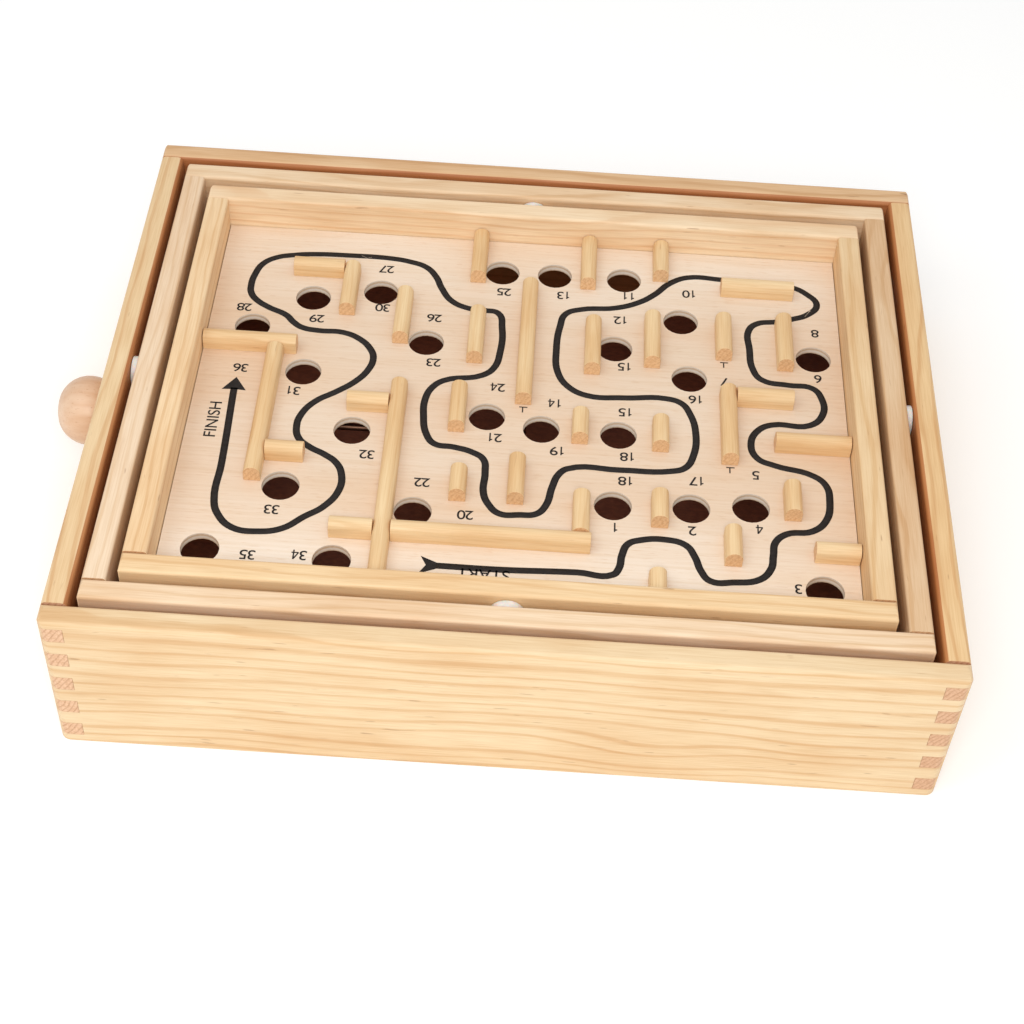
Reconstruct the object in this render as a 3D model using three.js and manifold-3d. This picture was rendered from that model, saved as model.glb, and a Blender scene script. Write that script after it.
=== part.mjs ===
// Tilt maze game: a wooden case that holds a gimbal frame, which holds a maze frame with a board,
// holes and wall strips. Two knobs turn shafts whose strings tilt the two frames, and a ball that
// falls through a hole rolls down a ramp to an outlet in the front wall.
// Millimetres, +Z up. The player sits at -Y. The origin is the middle of the case's underside.
import * as THREE from "three";
import { mergeVertices } from "three/addons/utils/BufferGeometryUtils.js";
import Module from "manifold-3d";

// ---- Case
const caseWidth = 300;
const caseDepth = 244;
const caseHeight = 65;
const caseWall = 8.5;
const caseCornerRadius = 3.5;
const caseEdgeRadius = 2;
const fingerCount = 5;
const fingerHeight = 6.5;
const fingerPitch = 13;
const fingerDrop = 3;
const fingerGap = 0.1;
const basePanelThickness = 3;

// ---- Gimbal frame and maze frame, both flush with the case's top
const gimbalSideGap = 2.5;
const gimbalEndGap = 3;
const gimbalRail = 8;
const gimbalFrontCornerRadius = 3;
const mazeSideGap = 3;
const mazeEndGap = 4;
const mazeRail = 8.2;
const mazeFrontCornerRadius = 3.5;
const railBackCornerRadius = 0.8;
const railHeight = 17;
const railEdgeRadius = 1.3;
const railJointGap = 0.15;

// ---- Maze board, its holes and its wall strips
const boardDrop = 13.5;
const boardThickness = 3;
const ballHoleRadius = 6.7;
const stripWidth = 6;
const stripHeight = 6.5;
const stripSeatGap = 0.1;
const layoutWidth = 239.6;
const layoutDepth = 180.6;

// ---- Pivot pins between the frames
const pivotDrop = 8;
const pinSpigotRadius = 2.6;
const pinSpigotLength = 5;
const pinCollarRadius = 5.8;

// ---- Drives: knob, shaft, string and tension spring
const sideShaftHeight = 35;
const frontShaftHeight = 28;
const shaftRadius = 2.5;
const shaftSocketDepth = 5;
const knobRadius = 12.9;
const knobLength = 20;
const knobNeckRadius = 8;
const knobFaceRadius = 6.5;
const knobWallGap = 0.8;
const knobBoreDepth = 13;
const stringRadius = 0.4;
const stringWrapPitch = 1.5;
const mazeStringOffset = 14;
const gimbalEyeInset = 12.5;
const springLength = 12;
const springCoilRadius = 1.6;
const springWireRadius = 0.3;
const springTurns = 6;
const eyeRingRadius = 1.9;
const eyeWireRadius = 0.55;
const eyeShankLength = 6;

// ---- The side shaft's thin inner end and the post that carries it
const drumReach = 10;
const journalRadius = 1.25;
const postX = 32;
const postWidth = 8;
const postDepth = 10;
const postRise = 5;

// ---- Return ramp, outlet and ball
const rampThickness = 2;
const rampLowTop = 5.4;
const rampRiseToBack = 5;
const rampRiseToRight = 1.4;
const cleatWidth = 10;
const ballRadius = 6;
const outletWidth = 18;
const outletInset = 11;
const outletSill = 6.5;
const outletHead = 21.5;
const outletHeadRadius = 3;
const ballWallGap = 1;
const ballSeatGap = 0.15;

// ---- Clearances
const fitGap = 0.3;
const panelGap = 0.3;

// ---- Sizes that follow from the ones above
const gimbalWidth = caseWidth - 2 * (caseWall + gimbalSideGap);
const gimbalDepth = caseDepth - 2 * (caseWall + gimbalEndGap);
const mazeWidth = gimbalWidth - 2 * (gimbalRail + mazeSideGap);
const mazeDepth = gimbalDepth - 2 * (gimbalRail + mazeEndGap);
const fieldWidth = mazeWidth - 2 * mazeRail;
const fieldDepth = mazeDepth - 2 * mazeRail;
const railBottom = caseHeight - railHeight;
const boardTop = caseHeight - boardDrop;
const layoutScaleX = fieldWidth / layoutWidth;
const layoutScaleY = fieldDepth / layoutDepth;
const pivotHeight = caseHeight - pivotDrop;
const innerWidth = caseWidth - 2 * caseWall;
const innerDepth = caseDepth - 2 * caseWall;

// Ball holes: x and y of each centre on a field of the layout's size. Holes and strips spread out or
// draw in with the real field.
const ballHoles = [
  [-107, 77.5],
  [-83, 42],
  [-62, 44],
  [-34.5, 45],
  [-109, -34.5],
  [-62, -20],
  [-59, -50.5],
  [-37, -72],
  [-34, -33.5],
  [-36, 11],
  [-8, 10.5],
  [-10, -72],
  [10.5, -72],
  [12, 6],
  [35, 53.5],
  [37, -30.5],
  [56.5, -56.5],
  [82, -51],
  [103, -33.5],
  [81, -11],
  [60, 17],
  [82, 45.5],
  [60.5, 77.5],
  [105.5, 76],
];

// Wall strips. "run" is along Y at x = at, "cross" is along X at y = at. from and to are the ends,
// and "rail" ends a strip just short of the maze frame's rail on that side.
const stripGroups = {
  strip_hook: [
    { dir: "run", at: 68.3, from: -67, to: -42.5 },
    { dir: "cross", at: -65.7, from: 70, to: 91 },
  ],
  strip_a: [{ dir: "run", at: 46.8, from: -54.5, to: -29 }],
  strip_b: [{ dir: "run", at: 19.7, from: "rail", to: -65.4 }],
  strip_c: [{ dir: "run", at: -23, from: "rail", to: -65.3 }],
  strip_d: [{ dir: "run", at: -51.2, from: "rail", to: -72.4 }],
  strip_e: [{ dir: "run", at: -0.8, from: -63.6, to: -1.2 }],
  strip_f: [{ dir: "run", at: 18.4, from: -46.4, to: -21 }],
  strip_g: [{ dir: "run", at: -25.6, from: -45, to: -19 }],
  strip_h: [{ dir: "run", at: -48, from: -49.8, to: -24.4 }],
  strip_i: [{ dir: "run", at: -75, from: -51, to: -30.8 }],
  strip_j: [{ dir: "run", at: -98, from: -52.7, to: -27.1 }],
  strip_k: [{ dir: "cross", at: -69, from: -102.5, to: -74.5 }],
  strip_branch: [
    { dir: "cross", at: -22.7, from: 84.7, to: "rail" },
    { dir: "run", at: 92.3, from: -23, to: 44 },
    { dir: "cross", at: 31.2, from: 75.5, to: 93 },
  ],
  strip_tree: [
    { dir: "run", at: 44.7, from: -5.3, to: "rail" },
    { dir: "cross", at: 4.5, from: 46.5, to: 63 },
    { dir: "cross", at: 64.7, from: -27, to: 62.8 },
    { dir: "run", at: -23.4, from: 43.2, to: 63 },
  ],
  strip_l: [{ dir: "run", at: 22.7, from: -5.7, to: 14.6 }],
  strip_m: [{ dir: "run", at: 20.1, from: 34.9, to: 47.6 }],
  strip_n: [{ dir: "run", at: -0.2, from: 28, to: 47.4 }],
  strip_o: [{ dir: "run", at: -22, from: 3.6, to: 16.7 }],
  strip_p: [{ dir: "run", at: -51.1, from: 4.7, to: 18.1 }],
  strip_corner: [
    { dir: "run", at: -76, from: -12.9, to: 22.2 },
    { dir: "cross", at: -9.9, from: -100, to: -76 },
  ],
  strip_q: [{ dir: "cross", at: 11.8, from: "rail", to: -92.3 }],
  strip_r: [{ dir: "run", at: -97.5, from: 32.5, to: 46.9 }],
  strip_s: [{ dir: "run", at: -50.8, from: 40.5, to: 53.9 }],
  strip_t: [{ dir: "run", at: -76, from: 55, to: 69.1 }],
  strip_u: [{ dir: "cross", at: 62.2, from: "rail", to: -104 }],
  strip_v: [{ dir: "run", at: -50, from: 76.4, to: "rail" }],
};

// ---- Materials
const wood = (colour) => new THREE.MeshStandardMaterial({ color: colour, roughness: 0.62, metalness: 0 });
const pineMaterial = wood(0xf0d8a8);
const endPineMaterial = wood(0xe8c487);
const gimbalMaterial = wood(0xebd3b0);
const railMaterial = wood(0xf0d5a5);
const boardMaterial = wood(0xf3e0c8);
const stripMaterial = wood(0xebcb95);
const knobMaterial = wood(0xe8c4a0);
const rampMaterial = wood(0x46231a);
const nylonMaterial = new THREE.MeshStandardMaterial({ color: 0xe6e2dc, roughness: 0.35, metalness: 0 });
const shaftMaterial = new THREE.MeshStandardMaterial({ color: 0x4a4540, roughness: 0.4, metalness: 0.8 });
const steelMaterial = new THREE.MeshStandardMaterial({ color: 0xc8c8c8, roughness: 0.15, metalness: 1 });
const cordMaterial = new THREE.MeshStandardMaterial({ color: 0xd8ccb8, roughness: 0.9, metalness: 0 });

// ---- Solid booleans
const wasm = await Module();
wasm.setup();

function toSolid(geometry) {
  const bare = geometry.clone();
  bare.deleteAttribute("normal");
  bare.deleteAttribute("uv");
  const merged = mergeVertices(bare, 1e-4);
  return new wasm.Manifold(
    new wasm.Mesh({
      numProp: 3,
      vertProperties: merged.attributes.position.array,
      triVerts: new Uint32Array(merged.index.array),
    }),
  );
}

function toGeometry(solid) {
  const mesh = solid.getMesh();
  const geometry = new THREE.BufferGeometry();
  geometry.setAttribute("position", new THREE.BufferAttribute(mesh.vertProperties, 3));
  geometry.setIndex(new THREE.BufferAttribute(mesh.triVerts, 1));
  geometry.computeVertexNormals();
  return geometry;
}

function combine(first, { add = [], cut = [], keep = [] }) {
  let solid = toSolid(first);
  for (const part of keep) solid = solid.intersect(toSolid(part));
  for (const part of add) solid = solid.add(toSolid(part));
  for (const part of cut) solid = solid.subtract(toSolid(part));
  return toGeometry(solid);
}

// ---- Shapes
function box(low, high) {
  const size = high.map((value, axis) => value - low[axis]);
  const geometry = new THREE.BoxGeometry(...size);
  return geometry.translate(...low.map((value, axis) => value + size[axis] / 2));
}

function extrude(shape, depth, curveSegments = 4) {
  const geometry = new THREE.ExtrudeGeometry(shape, { depth, bevelEnabled: false, curveSegments });
  return geometry.translate(0, 0, -depth / 2);
}

// A section drawn in (Y, Z) and drawn out along X, centred on X = 0.
function alongX(shape, length, segments) {
  const turn = new THREE.Matrix4().makeBasis(
    new THREE.Vector3(0, 1, 0),
    new THREE.Vector3(0, 0, 1),
    new THREE.Vector3(1, 0, 0),
  );
  return extrude(shape, length, segments).applyMatrix4(turn);
}

// A section drawn in (X, Z) and drawn out along Y, centred on Y = 0.
function alongY(shape, length, segments) {
  return extrude(shape, length, segments).rotateX(Math.PI / 2);
}

// A section with its two top edges rounded.
function roundTopped(width, bottom, top, radius) {
  const half = width / 2;
  const shape = new THREE.Shape();
  shape.moveTo(-half, bottom);
  shape.lineTo(half, bottom);
  shape.absarc(half - radius, top - radius, radius, 0, Math.PI / 2);
  shape.absarc(-half + radius, top - radius, radius, Math.PI / 2, Math.PI);
  shape.closePath();
  return shape;
}

// A plan with one radius on its two back (+Y) corners and another on its two front ones.
function roundedRectangle(width, depth, backRadius, frontRadius) {
  const x = width / 2;
  const y = depth / 2;
  const shape = new THREE.Shape();
  shape.absarc(x - backRadius, y - backRadius, backRadius, 0, Math.PI / 2);
  shape.absarc(-x + backRadius, y - backRadius, backRadius, Math.PI / 2, Math.PI);
  shape.absarc(-x + frontRadius, -y + frontRadius, frontRadius, Math.PI, 1.5 * Math.PI);
  shape.absarc(x - frontRadius, -y + frontRadius, frontRadius, 1.5 * Math.PI, 2 * Math.PI);
  shape.closePath();
  return shape;
}

// A cylinder from one point to another along a row axis, as wide as its flats allow.
function rod(radius, from, to, sides = 20) {
  const start = new THREE.Vector3(...from);
  const end = new THREE.Vector3(...to);
  const length = start.distanceTo(end);
  const turn = new THREE.Quaternion().setFromUnitVectors(
    new THREE.Vector3(0, 1, 0),
    end.clone().sub(start).normalize(),
  );
  const middle = start.clone().add(end).multiplyScalar(0.5);
  return new THREE.CylinderGeometry(radius, radius, length, sides)
    .applyQuaternion(turn)
    .translate(middle.x, middle.y, middle.z);
}

const game = new THREE.Group();

function place(name, geometry, material, parent = game) {
  const mesh = new THREE.Mesh(geometry, material);
  mesh.name = name;
  parent.add(mesh);
  return mesh;
}

// ---- Four-sided frames: two long members over the full width, two short ones between them
const caseFrame = {
  width: caseWidth,
  depth: caseDepth,
  rail: caseWall,
  bottom: 0,
  top: caseHeight,
  backCorner: caseCornerRadius,
  frontCorner: caseCornerRadius,
  edge: caseEdgeRadius,
};
const gimbalFrame = {
  width: gimbalWidth,
  depth: gimbalDepth,
  rail: gimbalRail,
  bottom: railBottom,
  top: caseHeight,
  backCorner: railBackCornerRadius,
  frontCorner: gimbalFrontCornerRadius,
  edge: railEdgeRadius,
};
const mazeFrame = {
  ...gimbalFrame,
  width: mazeWidth,
  depth: mazeDepth,
  rail: mazeRail,
  frontCorner: mazeFrontCornerRadius,
};

// The outer block of a frame, with rounded upright corners and rounded top edges.
function frameBlock(frame) {
  const tall = frame.top - frame.bottom;
  const outline = roundedRectangle(frame.width, frame.depth, frame.backCorner, frame.frontCorner);
  const plan = extrude(outline, tall);
  plan.translate(0, 0, frame.bottom + tall / 2);
  const ends = alongY(roundTopped(frame.width, frame.bottom, frame.top, frame.edge), frame.depth);
  return combine(plan, { keep: [ends] });
}

// side is -1 for the front (-Y) member and +1 for the back one.
function longMember(frame, side) {
  const section = roundTopped(frame.rail, frame.bottom, frame.top, frame.edge);
  const bar = alongX(section, frame.width);
  bar.translate(0, (side * (frame.depth - frame.rail)) / 2, 0);
  return combine(bar, { keep: [frameBlock(frame)] });
}

// side is -1 for the left (-X) member and +1 for the right one.
function shortMember(frame, side, gap) {
  const section = roundTopped(frame.rail, frame.bottom, frame.top, frame.edge);
  const bar = alongY(section, frame.depth - 2 * (frame.rail + gap));
  return bar.translate((side * (frame.width - frame.rail)) / 2, 0, 0);
}

// Everything that faces one of the four sides is drawn on the +X side and turned there.
const quarterTurn = (geometry, turns) => geometry.rotateZ((turns * Math.PI) / 2);
const toRight = 0;
const toBack = 1;
const toLeft = 2;
const toFront = 3;

// ---- Pivot pins: a collar in the gap with a spigot into the member on each side
function pivotPin(innerFace, outerFace, turns) {
  const collar = rod(pinCollarRadius, [innerFace + fitGap, 0, 0], [outerFace - fitGap, 0, 0], 24);
  const spigotStart = [innerFace - pinSpigotLength, 0, 0];
  const spigotEnd = [outerFace + pinSpigotLength, 0, 0];
  const pin = combine(collar, { add: [rod(pinSpigotRadius, spigotStart, spigotEnd, 16)] });
  return quarterTurn(pin.translate(0, 0, pivotHeight), turns);
}

// into is +1 where the hole goes away from the middle of the game and -1 where it goes towards it.
function pinHole(face, into, turns) {
  const depth = pinSpigotLength + fitGap;
  const hole = rod(pinSpigotRadius + fitGap, [face - into, 0, 0], [face + into * depth, 0, 0], 16);
  return quarterTurn(hole.translate(0, 0, pivotHeight), turns);
}

// ---- Drives. In a drive's own frame the shaft runs along Y with its knob at -Y, and the string
// pulls along X. The side drive is this frame turned a quarter turn, so its knob is at +X.
const sideDrive = {
  name: "side",
  frame: "gimbal",
  eyes: ["front", "back"],
  outer: caseWidth / 2,
  height: sideShaftHeight,
  eye: gimbalDepth / 2 - gimbalEyeInset,
  offset: -(gimbalWidth - gimbalRail) / 2,
  shaftEnd: drumReach - (gimbalWidth - gimbalRail) / 2,
  journalEnd: shaftSocketDepth - (postX + postWidth / 2),
  turns: 1,
};
const frontDrive = {
  name: "front",
  frame: "maze",
  eyes: ["left", "right"],
  outer: caseDepth / 2,
  height: frontShaftHeight,
  eye: (mazeWidth - mazeRail) / 2,
  offset: mazeStringOffset,
  shaftEnd: caseDepth / 2 - caseWall + shaftSocketDepth,
  turns: 0,
};
const eyeHeight = railBottom - fitGap - eyeRingRadius - eyeWireRadius;

function shaftHole(drive) {
  const start = [0, -drive.outer - 1, drive.height];
  const end = [0, -drive.outer + caseWall + 1, drive.height];
  return quarterTurn(rod(shaftRadius + fitGap, start, end), drive.turns);
}

function frontShaftSocket() {
  const start = [0, innerDepth / 2 - 1, frontShaftHeight];
  const end = [0, innerDepth / 2 + shaftSocketDepth + fitGap, frontShaftHeight];
  return rod(shaftRadius + fitGap, start, end);
}

// The front shaft runs on into the back wall. The side one goes on as a thin journal to its post.
function shaftGeometry(drive) {
  const start = [0, -drive.outer - knobWallGap - knobBoreDepth, drive.height];
  const shaft = rod(shaftRadius, start, [0, drive.shaftEnd, drive.height]);
  if (drive.journalEnd === undefined) return shaft;
  const inDrum = [0, drive.shaftEnd - 1, drive.height];
  const journal = rod(journalRadius, inDrum, [0, drive.journalEnd, drive.height], 16);
  return combine(shaft, { add: [journal] });
}

// A turned knob: a short neck, a full round belly and a flattened face.
function knobGeometry(drive) {
  const face = -drive.outer - knobWallGap;
  const side = new THREE.SplineCurve([
    new THREE.Vector2(knobNeckRadius, 0),
    new THREE.Vector2(0.92 * knobRadius, 0.22 * knobLength),
    new THREE.Vector2(knobRadius, 0.48 * knobLength),
    new THREE.Vector2(0.86 * knobRadius, 0.8 * knobLength),
    new THREE.Vector2(knobFaceRadius, knobLength),
  ]);
  const profile = [new THREE.Vector2(0, 0), ...side.getPoints(9), new THREE.Vector2(0, knobLength)];
  const turned = new THREE.LatheGeometry(profile, 28).rotateX(Math.PI).translate(0, face, drive.height);
  const boreEnd = face - knobBoreDepth - fitGap;
  const bore = rod(shaftRadius + fitGap, [0, face + 1, drive.height], [0, boreEnd, drive.height]);
  return combine(turned, { cut: [bore] });
}

// A curve whose steps are spread evenly over its parameter instead of its length.
class SteppedCurve extends THREE.Curve {
  constructor(pointAt) {
    super();
    this.pointAt = pointAt;
  }
  getPoint(t) {
    return this.pointAt(t);
  }
  getUtoTmapping(u) {
    return u;
  }
}

function thread(pointAt, radius, steps, sides) {
  const ring = new THREE.Shape();
  ring.absarc(0, 0, radius, 0, 2 * Math.PI);
  return new THREE.ExtrudeGeometry(ring, {
    steps,
    extrudePath: new SteppedCurve(pointAt),
    curveSegments: sides,
    bevelEnabled: false,
  });
}

// The string comes down from one screw eye, takes a turn over the top of the shaft and goes up to
// the other eye. Its -X end stops at the tension spring.
function stringLayout(drive) {
  const wrapRadius = shaftRadius + fitGap + stringRadius;
  const reach = drive.eye - eyeRingRadius - eyeWireRadius - fitGap;
  const rise = eyeHeight - drive.height;
  const touch = Math.atan2(rise, reach) + Math.acos(wrapRadius / Math.hypot(reach, rise));
  const wrapPoint = (share) => {
    const angle = Math.PI - touch - share * (3 * Math.PI - 2 * touch);
    return new THREE.Vector3(
      wrapRadius * Math.cos(angle),
      drive.offset + stringWrapPitch * (share - 0.5),
      drive.height + wrapRadius * Math.sin(angle),
    );
  };
  const half = stringWrapPitch / 2;
  const springEnd = new THREE.Vector3(-reach, drive.offset - half, eyeHeight);
  const plainEnd = new THREE.Vector3(reach, drive.offset + half, eyeHeight);
  const legLength = springEnd.distanceTo(wrapPoint(0));
  const tiePoint = springEnd.clone().lerp(wrapPoint(0), (springLength + fitGap) / legLength);
  return { wrapPoint, springEnd, tiePoint, plainEnd };
}

function stringGeometry(drive) {
  const { wrapPoint, tiePoint, plainEnd } = stringLayout(drive);
  const legSteps = 2;
  const wrapSteps = 20;
  const steps = 2 * legSteps + wrapSteps;
  const pointAt = (t) => {
    const step = t * steps;
    if (step < legSteps) return tiePoint.clone().lerp(wrapPoint(0), step / legSteps);
    if (step <= legSteps + wrapSteps) return wrapPoint((step - legSteps) / wrapSteps);
    return wrapPoint(1).lerp(plainEnd, (step - legSteps - wrapSteps) / legSteps);
  };
  return thread(pointAt, stringRadius, steps, 4);
}

function springGeometry(drive) {
  const { springEnd, tiePoint } = stringLayout(drive);
  const along = tiePoint.clone().sub(springEnd).normalize();
  const across = new THREE.Vector3(0, 1, 0).cross(along).normalize();
  const start = springEnd.clone().addScaledVector(along, springWireRadius);
  const end = tiePoint.clone().addScaledVector(along, -fitGap - springWireRadius);
  const pointAt = (t) => {
    const angle = 2 * Math.PI * springTurns * t;
    return start
      .clone()
      .lerp(end, t)
      .addScaledVector(across, springCoilRadius * Math.cos(angle))
      .add(new THREE.Vector3(0, springCoilRadius * Math.sin(angle), 0));
  };
  const stepsPerTurn = 8;
  return thread(pointAt, springWireRadius, springTurns * stepsPerTurn, 3);
}

function eyeGeometry(drive, side) {
  const ring = new THREE.TorusGeometry(eyeRingRadius, eyeWireRadius, 6, 14).rotateX(Math.PI / 2);
  const shankTop = railBottom + eyeShankLength - eyeHeight;
  const shank = rod(eyeWireRadius, [0, 0, eyeRingRadius], [0, 0, shankTop], 8);
  return combine(ring, { add: [shank] }).translate(side * drive.eye, drive.offset, eyeHeight);
}

function eyeHole(drive, side) {
  const end = railBottom + eyeShankLength + fitGap;
  const hole = rod(eyeWireRadius + fitGap, [0, 0, railBottom - 1], [0, 0, end], 8);
  return quarterTurn(hole.translate(side * drive.eye, drive.offset, 0), drive.turns);
}

for (const drive of [sideDrive, frontDrive]) {
  const group = new THREE.Group();
  group.rotation.z = (drive.turns * Math.PI) / 2;
  game.add(group);
  place(`${drive.name}_knob`, knobGeometry(drive), knobMaterial, group);
  place(`${drive.name}_shaft`, shaftGeometry(drive), shaftMaterial, group);
  place(`${drive.frame}_string`, stringGeometry(drive), cordMaterial, group);
  place(`${drive.frame}_tension_spring`, springGeometry(drive), steelMaterial, group);
  drive.eyes.forEach((side, index) => {
    place(`${drive.frame}_${side}_eye`, eyeGeometry(drive, index ? 1 : -1), steelMaterial, group);
  });
}

// ---- Case
const fingerBottoms = Array.from(
  { length: fingerCount },
  (_, index) => caseHeight - fingerDrop - index * fingerPitch - fingerHeight,
);

// The blocks that the side walls' fingers fill in the long walls, at one end; grow widens them.
function fingerBlocks(sideX, sideY, grow) {
  const x = [innerWidth / 2 - grow, caseWidth / 2 + grow].map((value) => value * sideX);
  const y = [innerDepth / 2 - 1, caseDepth / 2 + grow].map((value) => value * sideY);
  return fingerBottoms.map((bottom) =>
    box(
      [Math.min(...x), Math.min(...y), bottom - grow],
      [Math.max(...x), Math.max(...y), bottom + fingerHeight + grow],
    ),
  );
}

function longWall(side, cuts) {
  const notches = [-1, 1].flatMap((end) => fingerBlocks(end, side, fingerGap));
  return combine(longMember(caseFrame, side), { cut: [...notches, ...cuts] });
}

function sideWall(side, cuts) {
  const fingers = [-1, 1].flatMap((end) => fingerBlocks(side, end, 0));
  const wall = combine(shortMember(caseFrame, side, fingerGap), { add: fingers, cut: cuts });
  return combine(wall, { keep: [frameBlock(caseFrame)] });
}

const outletX = -caseWidth / 2 + outletInset + outletWidth / 2;
const outletCut = alongY(roundTopped(outletWidth, outletSill, outletHead, outletHeadRadius), 3 * caseWall);
outletCut.translate(outletX, -(caseDepth - caseWall) / 2, 0);

place("case_front_wall", longWall(-1, [shaftHole(frontDrive), outletCut]), pineMaterial);
place("case_back_wall", longWall(1, [frontShaftSocket()]), pineMaterial);
const rightWallCuts = [shaftHole(sideDrive), pinHole(innerWidth / 2, 1, toRight)];
place("case_right_wall", sideWall(1, rightWallCuts), endPineMaterial);
place("case_left_wall", sideWall(-1, [pinHole(innerWidth / 2, 1, toLeft)]), endPineMaterial);

const panelX = innerWidth / 2 - panelGap;
const panelY = innerDepth / 2 - panelGap;
place("base_panel", box([-panelX, -panelY, 0], [panelX, panelY, basePanelThickness]), rampMaterial);

// ---- Return ramp: falls to the front and to the left, where the outlet is
function rampTop(x, y) {
  const backShare = 0.5 + y / innerDepth;
  const rightShare = 0.5 + x / innerWidth;
  return rampLowTop + rampRiseToBack * backShare + rampRiseToRight * rightShare;
}

// A panel whose top and bottom heights are functions of x and y.
function slopedPanel(low, high, bottomAt, topAt) {
  const panel = box([...low, 0], [...high, 1]);
  const points = panel.attributes.position;
  for (let index = 0; index < points.count; index += 1) {
    const heightAt = points.getZ(index) > 0.5 ? topAt : bottomAt;
    points.setZ(index, heightAt(points.getX(index), points.getY(index)));
  }
  return panel;
}

const rampUnderside = (x, y) => rampTop(x, y) - rampThickness;
const ramp = slopedPanel([-panelX, -panelY], [panelX, panelY], rampUnderside, rampTop);
place("return_ramp", ramp, rampMaterial);
const cleat = slopedPanel(
  [-panelX, panelY - cleatWidth],
  [panelX, panelY],
  () => basePanelThickness + panelGap,
  (x, y) => rampUnderside(x, y) - panelGap,
);
place("ramp_cleat", cleat, stripMaterial);

// The post stands on the ramp and carries the side shaft's inner end.
const postFace = postX + postWidth / 2;
const postBlock = slopedPanel(
  [postX - postWidth / 2, -postDepth / 2],
  [postFace, postDepth / 2],
  (x, y) => rampTop(x, y) + panelGap,
  () => sideShaftHeight + postRise,
);
const journalHole = rod(
  journalRadius + fitGap,
  [postFace - shaftSocketDepth - fitGap, 0, sideShaftHeight],
  [postFace + 1, 0, sideShaftHeight],
  16,
);
place("shaft_post", combine(postBlock, { cut: [journalHole] }), stripMaterial);

const ballY = -innerDepth / 2 + ballRadius + ballWallGap;
const ball = new THREE.SphereGeometry(ballRadius, 20, 12).rotateX(Math.PI / 2);
const ballZ = rampTop(outletX, ballY) + ballRadius + ballSeatGap;
place("steel_ball", ball.translate(outletX, ballY, ballZ), steelMaterial);

// ---- Gimbal frame and maze frame
const gimbalInnerY = gimbalDepth / 2 - gimbalRail;
for (const [name, side, turns] of [
  ["front", -1, toFront],
  ["back", 1, toBack],
]) {
  const gimbalRailBar = combine(longMember(gimbalFrame, side), { cut: [pinHole(gimbalInnerY, 1, turns)] });
  place(`gimbal_${name}_rail`, gimbalRailBar, gimbalMaterial);
  const mazeRailBar = combine(longMember(mazeFrame, side), { cut: [pinHole(mazeDepth / 2, -1, turns)] });
  place(`maze_${name}_rail`, mazeRailBar, railMaterial);
  place(`maze_${name}_pin`, pivotPin(mazeDepth / 2, gimbalInnerY, turns), nylonMaterial);
}
for (const [name, side, turns] of [
  ["left", -1, toLeft],
  ["right", 1, toRight],
]) {
  const gimbalCuts = [pinHole(gimbalWidth / 2, -1, turns)];
  if (name === "right") gimbalCuts.push(eyeHole(sideDrive, -1), eyeHole(sideDrive, 1));
  const gimbalRailBar = combine(shortMember(gimbalFrame, side, railJointGap), { cut: gimbalCuts });
  place(`gimbal_${name}_rail`, gimbalRailBar, gimbalMaterial);
  const mazeCuts = [eyeHole(frontDrive, side)];
  const mazeRailBar = combine(shortMember(mazeFrame, side, railJointGap), { cut: mazeCuts });
  place(`maze_${name}_rail`, mazeRailBar, railMaterial);
  place(`gimbal_${name}_pin`, pivotPin(gimbalWidth / 2, innerWidth / 2, turns), nylonMaterial);
}

// ---- Maze board
const boardPlan = new THREE.Shape();
const boardX = fieldWidth / 2 - panelGap;
const boardY = fieldDepth / 2 - panelGap;
boardPlan.moveTo(-boardX, -boardY);
boardPlan.lineTo(boardX, -boardY);
boardPlan.lineTo(boardX, boardY);
boardPlan.lineTo(-boardX, boardY);
for (const [x, y] of ballHoles) {
  const hole = new THREE.Path();
  hole.absarc(x * layoutScaleX, y * layoutScaleY, ballHoleRadius, 0, 2 * Math.PI, true);
  boardPlan.holes.push(hole);
}
const holeArcSteps = 12;
const board = extrude(boardPlan, boardThickness, holeArcSteps);
board.translate(0, 0, boardTop - boardThickness / 2);
place("maze_board", board, boardMaterial);

// ---- Wall strips: flat below, half round on top
const stripArcSteps = 6;
function stripGeometry({ dir, at, from, to }) {
  const isRun = dir === "run";
  const limit = isRun ? boardY : boardX;
  const alongScale = isRun ? layoutScaleY : layoutScaleX;
  const acrossScale = isRun ? layoutScaleX : layoutScaleY;
  const start = from === "rail" ? -limit : from * alongScale;
  const end = to === "rail" ? limit : to * alongScale;
  const bottom = boardTop + stripSeatGap;
  const radius = stripWidth / 2;
  const section = new THREE.Shape();
  section.moveTo(-radius, bottom);
  section.lineTo(radius, bottom);
  section.absarc(0, bottom + stripHeight - radius, radius, 0, Math.PI);
  section.closePath();
  const middle = (start + end) / 2;
  const axis = at * acrossScale;
  if (isRun) return alongY(section, end - start, stripArcSteps).translate(axis, middle, 0);
  return alongX(section, end - start, stripArcSteps).translate(middle, axis, 0);
}

for (const [name, strips] of Object.entries(stripGroups)) {
  const [first, ...rest] = strips.map(stripGeometry);
  place(name, rest.length ? combine(first, { add: rest }) : first, stripMaterial);
}

export default game;
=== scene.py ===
"""Looks of the tilt maze game: timber, plywood board with its printed route, knobs, pins and cords.

The player sits at -Y, so the print reads upright from there. The camera looks from the back, +Y.
Sizes are in millimetres and turned to metres by MM.
"""
import math

import bpy
from mathutils import Matrix, Vector


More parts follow.
